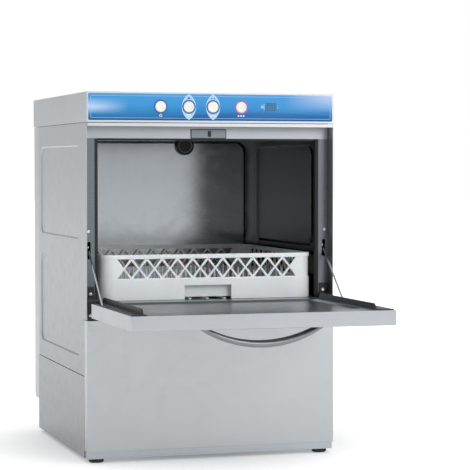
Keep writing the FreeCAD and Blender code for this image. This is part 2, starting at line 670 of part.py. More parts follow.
def hinge_notch(side, low, front):
    """The corner that the door leaves free for the hinge block."""
    return box(*span(side, NOTCH_X, DOOR_HALF + 1), front, DOOR_BACK + 1, low, DOOR_INNER + 4)


def door_outer_skin():
    """The door's outer tray, stepped in beside both hinge blocks."""
    inner, top = DOOR_HALF - SHEET, DOOR_INNER - 1.4
    tray = box(-DOOR_HALF, DOOR_HALF, -DOOR_REACH, DOOR_BACK, DOOR_UNDER, DOOR_INNER)
    free_edge = [e for e in tray.Edges if e.BoundBox.YMax < 1 - DOOR_REACH and e.BoundBox.XLength > 100]
    tray = tray.makeFillet(2.0, free_edge[:1])
    inside = box(-inner, inner, SHEET - DOOR_REACH, DOOR_BACK - SHEET, DOOR_UNDER + SHEET, 400)
    shell = tray.cut(inside)
    bore = rod((-300, HINGE_Y, HINGE_Z), X_AXIS, PIN_R + FIT, 600)
    for side in (-1, 1):
        x0, x1 = span(side, NOTCH_X, NOTCH_X - SHEET)
        side_wall = box(x0, x1, NOTCH_Y - SHEET, DOOR_BACK, DOOR_UNDER, top)
        x0, x1 = span(side, NOTCH_X, DOOR_HALF)
        step_wall = box(x0, x1, NOTCH_Y - SHEET, NOTCH_Y, DOOR_UNDER, top)
        shell = shell.cut(hinge_notch(side, DOOR_UNDER - 1, NOTCH_Y))
        shell = shell.fuse([side_wall.cut(bore), step_wall])
    return shell.removeSplitter()


def door_inner_panel():
    """The pressed liner: a sunk field in a flat border, with the latch hole near the free edge."""
    inner = DOOR_HALF - SHEET - 0.1
    back = DOOR_BACK - SHEET - 0.1
    front = SHEET + 0.1 - DOOR_REACH
    sheet = box(-inner, inner, front, back, DOOR_INNER - SHEET, DOOR_INNER)
    raised = pressed("z", DOOR_INNER - SHEET, -4.0, -236, 236, -330, -20, 24, 5)
    hollow = pressed("z", DOOR_INNER, -4.0, -235, 235, -329, -21, 23, 5)
    latch_y = HINGE_Y - (LATCH_Z - HINGE_Z)
    cuts = [hollow, stay_slot(), mirrored(stay_slot())]
    cuts.append(box(LATCH_X - 4, LATCH_X + 4, latch_y - 9, latch_y + 9, 340, 360))
    cuts += [hinge_notch(side, 340, NOTCH_Y - 0.01) for side in (-1, 1)]
    return joined([sheet, raised]).cut(cuts)


def door_rail():
    """The right-hand guide rail for the rack, folded to an L."""
    top = DOOR_INNER
    flange = box(250.5, 254, -354, -6, top, top + 12)
    ends = [e for e in flange.Edges if e.BoundBox.ZMin > top + 11 and e.BoundBox.YLength < 1]
    flange = flange.makeChamfer(8.0, ends)
    inner = box(250.5, 259.5, -385, -6, top, top + 2)
    outer = box(259.5, 281, -385, -50, top, top + 2)
    screw_y = HINGE_Y - (JAMB_SCREW[1] - HINGE_Z)
    relief = box(271.5, 282, screw_y - 7, screw_y + 7, top - 1, top + 3)
    return joined([flange, inner, outer]).cut([stay_slot(), relief])


def door_handle():
    """A bowed grip that hangs under the free end of the open door."""
    outer_half, outer_drop = HANDLE_OUTER
    inner_half, inner_drop = HANDLE_INNER

    def at(x, drop):
        return V(x, HANDLE_Y, DOOR_UNDER - drop)

    outer = Part.Arc(at(-outer_half, 0), at(0, outer_drop), at(outer_half, 0)).toShape()
    inner = Part.Arc(at(inner_half, 0), at(0, inner_drop), at(-inner_half, 0)).toShape()
    right = Part.makeLine(at(outer_half, 0), at(inner_half, 0))
    left = Part.makeLine(at(-inner_half, 0), at(-outer_half, 0))
    bow = Part.Face(Part.Wire([outer, right, inner, left])).extrude(V(0, HANDLE_WIDE, 0))
    return bow.makeFillet(2.5, [e for e in bow.Edges if e.BoundBox.XLength > 200])


def door_pins():
    pins = []
    for side in (-1, 1):
        hinge = rod((side * 240, HINGE_Y, HINGE_Z), V(side, 0, 0), PIN_R, 41)
        collar = rod((side * 250, HINGE_Y, HINGE_Z), V(side, 0, 0), 9, 8.7)
        stay = rod((side * 270.5, STAY_Y, STAY_Z), V(side, 0, 0), STAY_PIN_R, 12.2)
        head = rod((side * 270.5, STAY_Y, STAY_Z), V(side, 0, 0), 3.4, 2)
        pins += [joined([hinge, collar]), joined([stay, head])]
    return pins


def stay_rod():
    """The right-hand stay: an eye on the door's pin, a straight rod and a stop at its far end."""
    bar = rod((0, 0, 3), Z_AXIS, 2.0, STAY_LENGTH - 3)
    stop = Part.makeSphere(5.0, V(0, 0, STAY_LENGTH))
    arm = joined([bar, stop])
    arm.rotate(V(0, 0, 0), X_AXIS, STAY_ANGLE - 90)
    eye = rod((-2.4, 0, 0), X_AXIS, 4.6, 4.8)
    bore = rod((-5, 0, 0), X_AXIS, STAY_PIN_R + FIT, 10)
    stay = joined([arm, eye]).cut(bore)
    stay.translate(V(STAY_X, STAY_Y, STAY_Z))
    return stay


# ================================================================ rack
def lattice_holes():
    """Openings of one wall, drawn in X and Z about the wall's middle, for crossing bars."""
    low, high = RACK_Z + BAND_TALL + 2, RACK_Z + RACK_TALL - 10
    middle = (low + high) / 2
    node, bar, reach = LATTICE_BAR * 1.6, LATTICE_BAR, LATTICE_PITCH / 2 - LATTICE_BAR
    holes = []
    for k in range(LATTICE_CELLS):
        x0 = (k - LATTICE_CELLS / 2) * LATTICE_PITCH
        x1 = x0 + LATTICE_PITCH
        xm = (x0 + x1) / 2
        holes.append([(x0 + node, high), (x1 - node, high), (xm, middle + bar)])
        holes.append([(x0 + node, low), (x1 - node, low), (xm, middle - bar)])
        if k:
            upright = [(x0, high - node), (x0, low + node)]
            across = [(x0 + reach, middle), (x0 - reach, middle)]
            holes.append([upright[0], across[0], upright[1], across[1]])
    return holes


def turned_copies(shapes):
    """The same shapes turned a quarter about Z, for the other two walls."""
    copies = [shape.copy() for shape in shapes]
    for copy in copies:
        copy.rotate(V(0, 0, 0), Z_AXIS, 90)
    return copies


def hold_pockets(inner):
    """Back and roof of the hand hold in the front and the rear wall."""
    pieces = []
    for side in (-1, 1):
        y0, y1 = span(side, inner + 0.5, inner - HOLD_DEEP)
        roof_z = RACK_Z + HOLD_TALL
        pieces.append(box(-HOLD_HALF - 2, HOLD_HALF + 2, y0, y1, roof_z, roof_z + 2))
        y0, y1 = span(side, inner - HOLD_DEEP + 2, inner - HOLD_DEEP)
        pieces.append(box(-HOLD_HALF - 2, HOLD_HALF + 2, y0, y1, RACK_Z + 5.2, roof_z + 2))
    return pieces


def rack_walls():
    """Ring of four lattice walls on a taller band that has a hand hold in each side."""
    half, wall = RACK_HALF - 2, 3.0
    top = RACK_Z + RACK_TALL
    ring = rounded_prism("z", RACK_Z, RACK_TALL, -half, half, -half, half, 30)
    band = rounded_prism("z", RACK_Z, BAND_TALL, -RACK_HALF, RACK_HALF, -RACK_HALF, RACK_HALF, 31)
    rim = rounded_prism("z", top - 9, 9, -RACK_HALF, RACK_HALF, -RACK_HALF, RACK_HALF, 31)
    inner = half - wall
    hollow = rounded_prism("z", RACK_Z - 1, RACK_TALL + 2, -inner, inner, -inner, inner, 27)
    walls = joined([ring, band, rim]).cut(hollow)
    cuts = []
    for outline in lattice_holes():
        corners = [V(x, -RACK_HALF - 5, z) for x, z in outline]
        face = Part.Face(Part.makePolygon(corners + corners[:1]))
        cuts.append(face.extrude(V(0, 2 * RACK_HALF + 10, 0)))
    cuts.append(box(-HOLD_HALF, HOLD_HALF, -300, 300, RACK_Z - 1, RACK_Z + HOLD_TALL))
    walls = walls.cut(cuts + turned_copies(cuts))
    pockets = hold_pockets(inner)
    walls = joined([walls] + pockets + turned_copies(pockets))
    walls.translate(V(0, RACK_FRONT + RACK_HALF, 0))
    return walls


def rack_base():
    """Floor of crossed bars, one layer on the other, with rows of upright pegs."""
    inner = RACK_HALF - 5
    bar, layer, count = 5.0, 2.5, 12
    pitch = 2 * inner / count
    places = [k * pitch - inner for k in range(1, count)]
    pieces = []
    for at in places:
        pieces.append(box(at - bar / 2, at + bar / 2, -inner, inner, RACK_Z, RACK_Z + layer))
        pieces.append(box(-inner, inner, at - bar / 2, at + bar / 2, RACK_Z + layer, RACK_Z + 2 * layer))
    for x in places[::2]:
        for y in places:
            pieces.append(Part.makeCone(2.5, 1.8, 57, V(x, y, RACK_Z + 2 * layer)))
    for piece in pieces:
        piece.translate(V(0, RACK_FRONT + RACK_HALF, 0))
    return pieces


# ================================================================ write every node
def write_pair(name_left, name_right, right):
    write(name_left, mirrored(right))
    write(name_right, right)


write("base_frame", base_frame())
write("levelling_feet", levelling_feet())
write("front_lower_panel", front_lower_panel())
write_pair("left_lower_panel", "right_lower_panel", lower_side_panel())
write_pair("left_side_panel", "right_side_panel", side_panel())
write("rear_cover", rear_cover())
write("top_cover", top_cover())
write("front_trim_rail", front_trim_rail())
write("control_fascia", control_fascia())
write("display_lens", display_lens())
write("control_board", control_board())
for button_name, button_x in BUTTON_X.items():
    write(button_name, button(button_x))

write_pair("left_jamb", "right_jamb", jamb())
write("door_header", door_header())
write("latch_catch", latch_catch())
write("latch_bolt", latch_bolt())
write("jamb_seals", jamb_seals())
write("hinge_blocks", [hinge_block(), mirrored(hinge_block())])
write("threshold", threshold())

write_pair("chamber_left_wall", "chamber_right_wall", chamber_side_wall())
write("chamber_back_wall", chamber_back_wall())
write("chamber_ceiling", chamber_ceiling())
write("vent_cap", vent_cap())
write("wash_tank", wash_tank())
write("tank_filter", tank_filter())
write("suction_filter", suction_filter())
write("overflow_pipe", overflow_pipe())
write("tank_heater", tank_heater())
write("rack_rails", rack_rails())
write("wash_arm_posts", wash_arm_posts())
write("lower_wash_arm", spray_arm(313.0, 14.0, 34.0, 1, 28))
write("lower_rinse_arm", spray_arm(332.0, 10.0, 20.0, 1, -38))
write("upper_wash_arm", spray_arm(742.0, 14.0, 34.0, -1, -20))
write("upper_rinse_arm", spray_arm(729.5, 10.0, 20.0, -1, 47))

write("wash_pump", wash_pump())
write("pump_impeller", pump_impeller())
write("feed_pipes", feed_pipes())
write("drain_pump", drain_pump())
write("boiler", boiler())
write("inlet_valve", inlet_valve())
write("dosing_pumps", dosing_pumps())
write("terminal_box", terminal_box())
write("cable_gland", cable_gland())
write("panel_screws", panel_screws())

write("door_outer_skin", door_outer_skin())
write("door_inner_panel", door_inner_panel())
write("door_rails", [door_rail(), mirrored(door_rail())])
write("door_handle", door_handle())
write("door_pins", door_pins())
write_pair("stay_rod_left", "stay_rod_right", stay_rod())

write("rack_walls", rack_walls())
write("rack_base", rack_base())
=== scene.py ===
import bpy
import bmesh
import json
import math
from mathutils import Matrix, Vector


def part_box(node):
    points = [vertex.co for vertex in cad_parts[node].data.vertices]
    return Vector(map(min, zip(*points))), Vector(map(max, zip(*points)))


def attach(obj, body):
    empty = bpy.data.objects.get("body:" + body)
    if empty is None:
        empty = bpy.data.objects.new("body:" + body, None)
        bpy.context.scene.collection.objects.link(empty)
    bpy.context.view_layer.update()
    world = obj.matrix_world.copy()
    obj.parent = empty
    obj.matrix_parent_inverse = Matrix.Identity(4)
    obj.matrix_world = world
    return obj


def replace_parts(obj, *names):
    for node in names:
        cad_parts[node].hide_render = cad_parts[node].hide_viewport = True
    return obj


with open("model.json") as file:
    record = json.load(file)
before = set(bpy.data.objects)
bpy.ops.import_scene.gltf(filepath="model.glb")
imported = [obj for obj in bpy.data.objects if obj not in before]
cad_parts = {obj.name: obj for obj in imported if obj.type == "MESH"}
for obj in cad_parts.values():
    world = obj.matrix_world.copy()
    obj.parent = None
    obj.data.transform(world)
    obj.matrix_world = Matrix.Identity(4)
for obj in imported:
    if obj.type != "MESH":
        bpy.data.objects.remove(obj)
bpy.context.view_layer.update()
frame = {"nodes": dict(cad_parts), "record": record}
NODES = frame["nodes"]
MM = 0.001

# The box of the printed film, read from the frame, in metres
PANEL_LOW, PANEL_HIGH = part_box("control_fascia")
FRONT_Y = PANEL_LOW.y

# Places repeated from part.py, in mm. There Y is counted from the cabinet's front
# plane, and ROW_SHIFT_Y brings it into the frame.
ROW_SHIFT_Y = -106.5
DOOR_UNDER = 324.6
HANDLE_OUTER, HANDLE_INNER = (135.0, 41.0), (116.0, 27.0)
SPINDLE = (0.0, 288.0)
SUMP_WELL = (120.0, 180.0)
OVERFLOW = (-110.0, 160.0)
FOOT_X, FOOT_FRONT, FOOT_BACK = 262.0, 26.0, 528.0
SLOT_X, SLOT_HALF, SLOT_TALL = 150, 60, 5.0
SLOT_LOWEST, SLOT_PITCH, SLOT_ROWS = 560, 16, 8


# ------------------------------------------------------------------ camera
LENS_MM = 143.71
CAMERA_PLACE = (-1.1852, -4.1312, 0.6568)
LOOKS_DOWN, TURNED_RIGHT = 2.11, 17.09


def make_camera():
    """Long lens from the machine's left front, a little above the middle."""
    data = bpy.data.cameras.new("view")
    data.sensor_width = 36.0
    data.lens = LENS_MM
    data.clip_end = 60.0
    camera = bpy.data.objects.new("view", data)
    bpy.context.scene.collection.objects.link(camera)
    camera.location = CAMERA_PLACE
    camera.rotation_euler = (math.radians(90 - LOOKS_DOWN), 0.0, math.radians(-TURNED_RIGHT))
    bpy.context.scene.camera = camera


# ------------------------------------------------------------------ node helpers
def new_material(name):
    material = bpy.data.materials.new(name)
    material.use_nodes = True
    tree = material.node_tree
    shader = tree.nodes["Principled BSDF"]
    return material, tree, shader


def put(tree, kind, **values):
    """Adds a node. A value goes to the input of that name, or else to the node's own setting."""
    node = tree.nodes.new(kind)
    for key, value in values.items():
        socket = node.inputs.get(key.replace("_", " "))
        if socket is not None:
            socket.default_value = value
        else:
            setattr(node, key, value)
    return node


def stretched_noise(tree, stretch, scale, detail=4.0, rough=0.6):
    """Noise in the object's own space, drawn out by `stretch`."""
    place = tree.nodes.new("ShaderNodeTexCoord")
    mapping = tree.nodes.new("ShaderNodeMapping")
    mapping.inputs["Scale"].default_value = stretch
    tree.links.new(place.outputs["Object"], mapping.inputs["Vector"])
    noise = put(tree, "ShaderNodeTexNoise", Scale=scale, Detail=detail, Roughness=rough)
    tree.links.new(mapping.outputs["Vector"], noise.inputs["Vector"])
    return noise


def ramp(tree, source, low, high, start=0.3, end=0.7):
    """A colour ramp between two colours, or two greys given as numbers."""
    node = tree.nodes.new("ShaderNodeValToRGB")
    for element, value, at in zip(node.color_ramp.elements, (low, high), (start, end)):
        element.position = at
        element.color = (*value, 1) if isinstance(value, tuple) else (value, value, value, 1)
    tree.links.new(source, node.inputs["Fac"])
    return node.outputs["Color"]


def mix(tree, factor, one, two, blend="MIX"):
    """Mixes two colours; each of the three inputs is a socket, a number or a colour."""
    node = tree.nodes.new("ShaderNodeMix")
    node.data_type = "RGBA"
    node.blend_type = blend
    inputs = {"Factor": factor, "A": one, "B": two}
    for socket in node.inputs:
        if socket.name == "Factor" and socket.type == "VALUE":
            feed(tree, socket, inputs["Factor"])
        elif socket.name in ("A", "B") and socket.type == "RGBA":
            feed(tree, socket, inputs[socket.name])
    return [s for s in node.outputs if s.type == "RGBA"][0]


def feed(tree, socket, value):
    """Links another node's output to the input, or sets the input to a number or colour."""
    if hasattr(value, "is_output"):
        tree.links.new(value, socket)
    else:
        socket.default_value = (*value, 1) if isinstance(value, tuple) else value


def multiply(tree, one, two):
    return mix(tree, 1.0, one, two, "MULTIPLY")


def scaled_and_moved(tree, source, factor, offset):
    """The source times `factor`, plus `offset`."""
    node = put(tree, "ShaderNodeMath", operation="MULTIPLY_ADD")
    node.inputs[1].default_value = factor
    node.inputs[2].default_value = offset
    tree.links.new(source, node.inputs[0])
    return node.outputs["Value"]


def share_between(tree, source, low, high):
    """0 where the source is `low`, 1 where it is `high`."""
    node = put(tree, "ShaderNodeMapRange")
    node.inputs["From Min"].default_value = low
    node.inputs["From Max"].default_value = high
    tree.links.new(source, node.inputs["Value"])
    return node.outputs["Result"]


def object_axes(tree):
    """The place in the object's own space, split into X, Y and Z."""
    place = tree.nodes.new("ShaderNodeTexCoord")
    split = tree.nodes.new("ShaderNodeSeparateXYZ")
    tree.links.new(place.outputs["Object"], split.inputs["Vector"])
    return split.outputs


def add_bump(tree, shader, source, strength, distance):
    bump = put(tree, "ShaderNodeBump", Strength=strength, Distance=distance)
    tree.links.new(source, bump.inputs["Height"])
    tree.links.new(bump.outputs["Normal"], shader.inputs["Normal"])


def rgb(r, g, b):
    """An sRGB colour in 0-255 as linear numbers."""
    def one(v):
        v /= 255
        return v / 12.92 if v <= 0.04045 else ((v + 0.055) / 1.055) ** 2.4
    return (one(r), one(g), one(b))


# ------------------------------------------------------------------ materials
# Stretch of the brush lines: fine along the named axis, long along the other two
FINE_Z = (4.0, 4.0, 2600.0)
FINE_Y = (4.0, 2600.0, 4.0)
FINE_X = (2600.0, 4.0, 4.0)
EVEN = (1, 1, 1)
# Height in metres below which the painted shade towards the floor is at its full strength
SHADE_FULL_BELOW = 0.10


def painted_floor_shade(tree, foot, shade_ends_at):
    """Painted shade: darker towards the floor, at full brightness from the given height up."""
    return ramp(tree, object_axes(tree)["Z"], foot, 1.0, SHADE_FULL_BELOW, shade_ends_at)


def brushed_steel(name, colour, rough, grain, smudge=0.04, variation=0.035,
                  foot=1.0, shade_ends_at=0.62):
    """Stainless sheet: fine brush lines, faint clouds and handling marks."""
    material, tree, shader = new_material(name)
    shader.inputs["Metallic"].default_value = 1.0
    lines = stretched_noise(tree, grain, 1.0, 3.0, 0.7)
    clouds = stretched_noise(tree, EVEN, 5.0, 5.0, 0.55)
    marks = stretched_noise(tree, EVEN, 38.0, 3.0, 0.6)
    dark = tuple(c * (1 - variation) for c in colour)
    bright = tuple(min(1.0, c * (1 + variation)) for c in colour)
    tone = ramp(tree, lines.outputs["Fac"], dark, bright, 0.35, 0.65)
    cloud_tone = ramp(tree, clouds.outputs["Fac"], 1 - smudge, 1.0, 0.3, 0.6)
    base = multiply(tree, tone, cloud_tone)
    # Painted shade: the base colour darkens towards the floor
    if foot < 1.0:
        base = multiply(tree, base, painted_floor_shade(tree, foot, shade_ends_at))
    tree.links.new(base, shader.inputs["Base Color"])
    gloss = ramp(tree, lines.outputs["Fac"], rough * 0.85, rough * 1.15)
    stain = ramp(tree, marks.outputs["Fac"], 0.0, 0.06, 0.45, 0.75)
    tree.links.new(mix(tree, 1.0, gloss, stain, "ADD"), shader.inputs["Roughness"])
    add_bump(tree, shader, lines.outputs["Fac"], 0.12, 0.0002)
    return material


def moulded(name, low, high, rough, grain_scale=900.0, bump=0.15, subsurface=0.0, coat=0.0):
    """Moulded plastic or rubber: two close tones in soft clouds over a fine moulded grain."""
    material, tree, shader = new_material(name)
    clouds = stretched_noise(tree, EVEN, 14.0, 4.0, 0.5)
    tree.links.new(ramp(tree, clouds.outputs["Fac"], low, high), shader.inputs["Base Color"])
    grain = stretched_noise(tree, EVEN, grain_scale, 2.0, 0.5)
    gloss = ramp(tree, grain.outputs["Fac"], rough * 0.85, min(1.0, rough * 1.2))
    tree.links.new(gloss, shader.inputs["Roughness"])
    add_bump(tree, shader, grain.outputs["Fac"], bump, 0.0003)
    shader.inputs["Subsurface Weight"].default_value = subsurface
    shader.inputs["Subsurface Scale"].default_value = 0.004
    shader.inputs["Coat Weight"].default_value = coat
    return material


def darker_under_wave(tree, base, across, height):
    """A long wave along the foot of the film: a shade darker below the line, full colour above."""
    phase = scaled_and_moved(tree, across, 5.2, 1.0)
    sine = put(tree, "ShaderNodeMath", operation="SINE")
    tree.links.new(phase, sine.inputs[0])
    wave_line = scaled_and_moved(tree, sine.outputs["Value"], -0.13, 0.16)
    above = put(tree, "ShaderNodeMath", operation="SUBTRACT")
    tree.links.new(height, above.inputs[0])
    tree.links.new(wave_line, above.inputs[1])
    shade = ramp(tree, above.outputs["Value"], rgb(205, 222, 236), rgb(255, 255, 255), 0.0, 0.07)
    return multiply(tree, base, shade)


def blue_film(name):
    """Printed film: light streak at the left, deeper blue at the foot, pale top right corner."""
    material, tree, shader = new_material(name)
    axes = object_axes(tree)
    height = share_between(tree, axes["Z"], PANEL_LOW.z, PANEL_HIGH.z)
    across = share_between(tree, axes["X"], PANEL_LOW.x, PANEL_HIGH.x)
    waves = stretched_noise(tree, (4.0, 1.0, 22.0), 1.0, 2.0, 0.4)
    foot, middle, head = rgb(0, 92, 152), rgb(44, 140, 202), rgb(62, 146, 208)
    low_half = ramp(tree, height, foot, middle, 0.0, 0.55)
    base = mix(tree, ramp(tree, height, 0.0, 1.0, 0.5, 1.0), low_half, head)
    clouds = ramp(tree, waves.outputs["Fac"], 0.0, 0.32, 0.45, 0.8)
    base = mix(tree, clouds, base, rgb(96, 158, 206))
    base = darker_under_wave(tree, base, across, height)
    # The streak is brightest at the left end, about halfway up
    left = ramp(tree, across, 1.0, 0.0, 0.0, 0.16)
    rising = ramp(tree, height, 0.0, 1.0, 0.22, 0.48)
    falling = ramp(tree, height, 1.0, 0.0, 0.5, 0.85)
    streak = multiply(tree, left, multiply(tree, rising, falling))
    base = mix(tree, streak, base, rgb(188, 212, 238))
    corner_x = ramp(tree, across, 0.0, 1.0, 0.80, 1.02)
    corner_z = ramp(tree, height, 0.0, 1.0, 0.35, 1.05)
    base = mix(tree, multiply(tree, corner_x, corner_z), base, rgb(196, 202, 228))
    tree.links.new(base, shader.inputs["Base Color"])
    grain = stretched_noise(tree, EVEN, 1400.0, 2.0, 0.5)
    tree.links.new(ramp(tree, grain.outputs["Fac"], 0.24, 0.34), shader.inputs["Roughness"])
    add_bump(tree, shader, grain.outputs["Fac"], 0.05, 0.0002)
    shader.inputs["Specular IOR Level"].default_value = 0.25
    shader.inputs["Coat Weight"].default_value = 0.10
    shader.inputs["Coat Roughness"].default_value = 0.12
    return material


PRINT_TONES = {
    "print_white": rgb(226, 234, 242),
    "print_pale": rgb(150, 194, 226),
    "print_line": rgb(122, 172, 216),
    "print_deep": rgb(24, 84, 150),
    "print_violet": rgb(160, 78, 168),
    "print_teal": rgb(36, 110, 150),
}

# Colour, roughness, direction of the brush lines, then smudge and variation where they differ
STEELS = {
    "steel_wall": (rgb(190, 194, 197), 0.34, FINE_Z),
    "steel_door": (rgb(170, 174, 178), 0.34, FINE_Z),
    "steel_header": (rgb(160, 165, 169), 0.36, FINE_Z),
    "steel_side": (rgb(178, 182, 185), 0.34, FINE_Z, 0.02),
    "steel_pale": (rgb(188, 191, 194), 0.42, FINE_X, 0.03, 0.05),
    "steel_dull": (rgb(172, 178, 182), 0.30, FINE_Z, 0.08),
    "steel_chamber": (rgb(164, 169, 173), 0.15, FINE_Z, 0.05, 0.02),
    # The chamber steel darkened for the right wall: painted shade
    "steel_painted_shade": (rgb(44, 47, 50), 0.20, FINE_Z, 0.05, 0.02),
    "steel_jamb": (rgb(110, 116, 120), 0.30, FINE_Z, 0.06),
    "steel_catch": (rgb(120, 126, 130), 0.36, FINE_Z, 0.06),
    "steel_trim": (rgb(194, 197, 200), 0.34, FINE_Z, 0.03),
    "steel_dull_flat": (rgb(168, 174, 178), 0.32, FINE_Y, 0.10),
    "steel_liner": (rgb(150, 156, 161), 0.30, FINE_X, 0.12),
    "steel_polished": (rgb(222, 224, 226), 0.16, FINE_Z, 0.04, 0.04),
    "steel_handle": (rgb(126, 130, 134), 0.34, FINE_X, 0.04, 0.04),
    "steel_rod": (rgb(205, 208, 211), 0.22, FINE_Z, 0.04, 0.05),
}
# How far each steel darkens towards the floor: painted shade
STEEL_FADES = {
    "steel_wall": {"foot": 0.84},
    "steel_side": {"foot": 0.58, "shade_ends_at": 0.80},
}

# Darker and lighter tone, roughness, then scale and strength of the grain where they differ
PLASTICS = {
    "dark_steel": (rgb(20, 21, 23), rgb(34, 35, 38), 0.42, 500.0, 0.2),
    "black_plastic": (rgb(22, 23, 25), rgb(38, 39, 42), 0.46),
    "black_rubber": (rgb(18, 18, 20), rgb(34, 34, 37), 0.68, 600.0, 0.3),
    "hose_rubber": (rgb(24, 24, 26), rgb(44, 44, 47), 0.6, 300.0, 0.4),
    "white_plastic": (rgb(206, 207, 204), rgb(226, 227, 224), 0.4),
    "grey_plastic": (rgb(120, 123, 126), rgb(140, 143, 146), 0.45),
    "circuit_board": (rgb(14, 74, 44), rgb(26, 104, 62), 0.35),
    "motor_paint": (rgb(36, 42, 52), rgb(54, 60, 70), 0.42, 350.0, 0.35),
    "button_plastic": (rgb(218, 220, 212), rgb(238, 240, 234), 0.30, 1200.0, 0.05),
    "rack_plastic": (rgb(238, 241, 245), rgb(248, 250, 252), 0.38, 700.0, 0.12),
    "display_window": (rgb(38, 92, 140), rgb(58, 118, 168), 0.14, 900.0, 0.02),
}
PLASTIC_EXTRAS = {
    "button_plastic": {"coat": 0.4},
    "rack_plastic": {"subsurface": 0.25},
    "display_window": {"coat": 0.6},
}


def make_materials():
    made = {"blue_film": blue_film("blue_film")}
    for name, values in STEELS.items():
        made[name] = brushed_steel(name, *values, **STEEL_FADES.get(name, {}))
    for name, values in PLASTICS.items():
        made[name] = moulded(name, *values, **PLASTIC_EXTRAS.get(name, {}))
    for name, tone in PRINT_TONES.items():
        lighter = tuple(min(1.0, c * 1.12 + 0.01) for c in tone)
        made[name] = moulded(name, tone, lighter, 0.34, 1400.0, 0.04)
    return made


STEEL_FOR_NODE = {
    "top_cover": "steel_wall",
    "front_lower_panel": "steel_wall",
    "front_trim_rail": "steel_trim",
    "rear_cover": "steel_pale",
    "door_outer_skin": "steel_door",
    "door_header": "steel_header",
    "door_inner_panel": "steel_liner",
    "door_handle": "steel_handle",
    "left_side_panel": "steel_side",
    "right_side_panel": "steel_side",
    "left_lower_panel": "steel_side",
    "right_lower_panel": "steel_side",
    "chamber_left_wall": "steel_chamber",
    # Painted shade: the right wall takes the darkened copy of the chamber steel
    "chamber_right_wall": "steel_painted_shade",
    "chamber_back_wall": "steel_chamber",
    "chamber_ceiling": "steel_dull_flat",
    "tank_filter": "steel_dull_flat",
    "left_jamb": "steel_jamb",
    "right_jamb": "steel_jamb",
    "latch_catch": "steel_catch",
}
# A slot that is not named here has a material of its own name
SLOT_MATERIAL = {
    "steel_outer": "steel_wall",
    "steel_inner": "steel_dull",
    "steel_bright": "steel_polished",
    "screw_steel": "steel_rod",
}


def dress_nodes(made):
    """Gives every CAD node its material: by its own name first, else by its slot."""
    slots = {part["node"]: part["material_slot"] for part in frame["record"]["subparts"]}
    for name, node in NODES.items():
        slot = slots[name]
        chosen = STEEL_FOR_NODE.get(name, SLOT_MATERIAL.get(slot, slot))
        node.data.materials.clear()
        node.data.materials.append(made[chosen])


# ------------------------------------------------------------------ stage and light
CABINET_MIDDLE = (0.0, 0.196, 0.0)
# Where the dark patch of the surround stands, seen from the machine
VIEWER_SIDE = Vector((-0.45, -0.88, 0.0)).normalized()


def make_stage():
    """A white floor that glows more with distance, so that it runs into the background; its weaker
    glow round the cabinet is a painted soft shadow.
    """
    floor_material, tree, shader = new_material("floor_paint")
    clouds = stretched_noise(tree, EVEN, 1.5, 3.0, 0.5)
    paint = ramp(tree, clouds.outputs["Fac"], rgb(243, 243, 244), rgb(248, 248, 249))
    tree.links.new(paint, shader.inputs["Base Color"])
    shader.inputs["Roughness"].default_value = 0.7
    place = tree.nodes.new("ShaderNodeTexCoord")
    distance = put(tree, "ShaderNodeVectorMath", operation="DISTANCE")
    distance.inputs[1].default_value = CABINET_MIDDLE
    tree.links.new(place.outputs["Object"], distance.inputs[0])
    away = share_between(tree, distance.outputs["Value"], 0.0, 8.0)
    # Painted shadow: less glow close to the cabinet
    near = ramp(tree, away, 0.17, 0.44, 0.03, 0.064)
    distant = ramp(tree, away, 1.0, 1.35, 0.12, 0.5)
    tree.links.new(multiply(tree, near, distant), shader.inputs["Emission Color"])
    shader.inputs["Emission Strength"].default_value = 1.0
    bpy.ops.mesh.primitive_plane_add(size=60, location=(0, 0, 0))
    floor = bpy.context.object
    floor.name = "floor"
    floor.data.materials.append(floor_material)


def soft_light(name, place, aim, size, power):
    data = bpy.data.lights.new(name, "AREA")
    data.shape = "RECTANGLE"
    data.size, data.size_y = size
    data.energy = power
    lamp = bpy.data.objects.new(name, data)
    bpy.context.scene.collection.objects.link(lamp)
    lamp.location = place
    lamp.rotation_euler = (Vector(aim) - Vector(place)).to_track_quat("-Z", "Y").to_euler()


def make_light():
    """A bright surround with a dark patch behind the viewer, as in a studio, and two soft boxes."""
    world = bpy.data.worlds.new("studio")
    bpy.context.scene.world = world
    world.use_nodes = True
    tree = world.node_tree
    back = tree.nodes["Background"]
    place = tree.nodes.new("ShaderNodeTexCoord")
    dot = put(tree, "ShaderNodeVectorMath", operation="DOT_PRODUCT")
    dot.inputs[1].default_value = VIEWER_SIDE
    tree.links.new(place.outputs["Generated"], dot.inputs[0])
    patch = ramp(tree, dot.outputs["Value"], 1.0, 0.08, 0.76, 0.97)
    split = tree.nodes.new("ShaderNodeSeparateXYZ")
    tree.links.new(place.outputs["Generated"], split.inputs["Vector"])
    depth = share_between(tree, split.outputs["Y"], -1.0, 1.0)
    surround = multiply(tree, patch, ramp(tree, depth, 0.88, 0.70, 0.3, 0.7))
    seen = tree.nodes.new("ShaderNodeLightPath")
    colour = mix(tree, seen.outputs["Is Camera Ray"], surround, (1.0, 1.0, 1.0))
    tree.links.new(colour, back.inputs["Color"])
    back.inputs["Strength"].default_value = 1.0
    soft_light("key", (1.8, -3.4, 2.2), (0, 0.1, 0.5), (1.6, 1.6), 44)
    soft_light("left", (-3.2, 0.4, 2.4), (0, 0.1, 0.4), (1.8, 2.0), 5)


# ------------------------------------------------------------------ piece helpers
def piece(name, mesh, material, body, smooth=True):
    """Turns a bmesh into an object that rides on a CAD body."""
    data = bpy.data.meshes.new(name)
    mesh.normal_update()
    mesh.to_mesh(data)
    mesh.free()
    made = bpy.data.objects.new(name, data)
    bpy.context.scene.collection.objects.link(made)
    data.materials.append(MATERIALS[material])
    if smooth:
        data.shade_smooth()
        data.set_sharp_from_angle(angle=math.radians(35))
    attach(made, body)
    return made


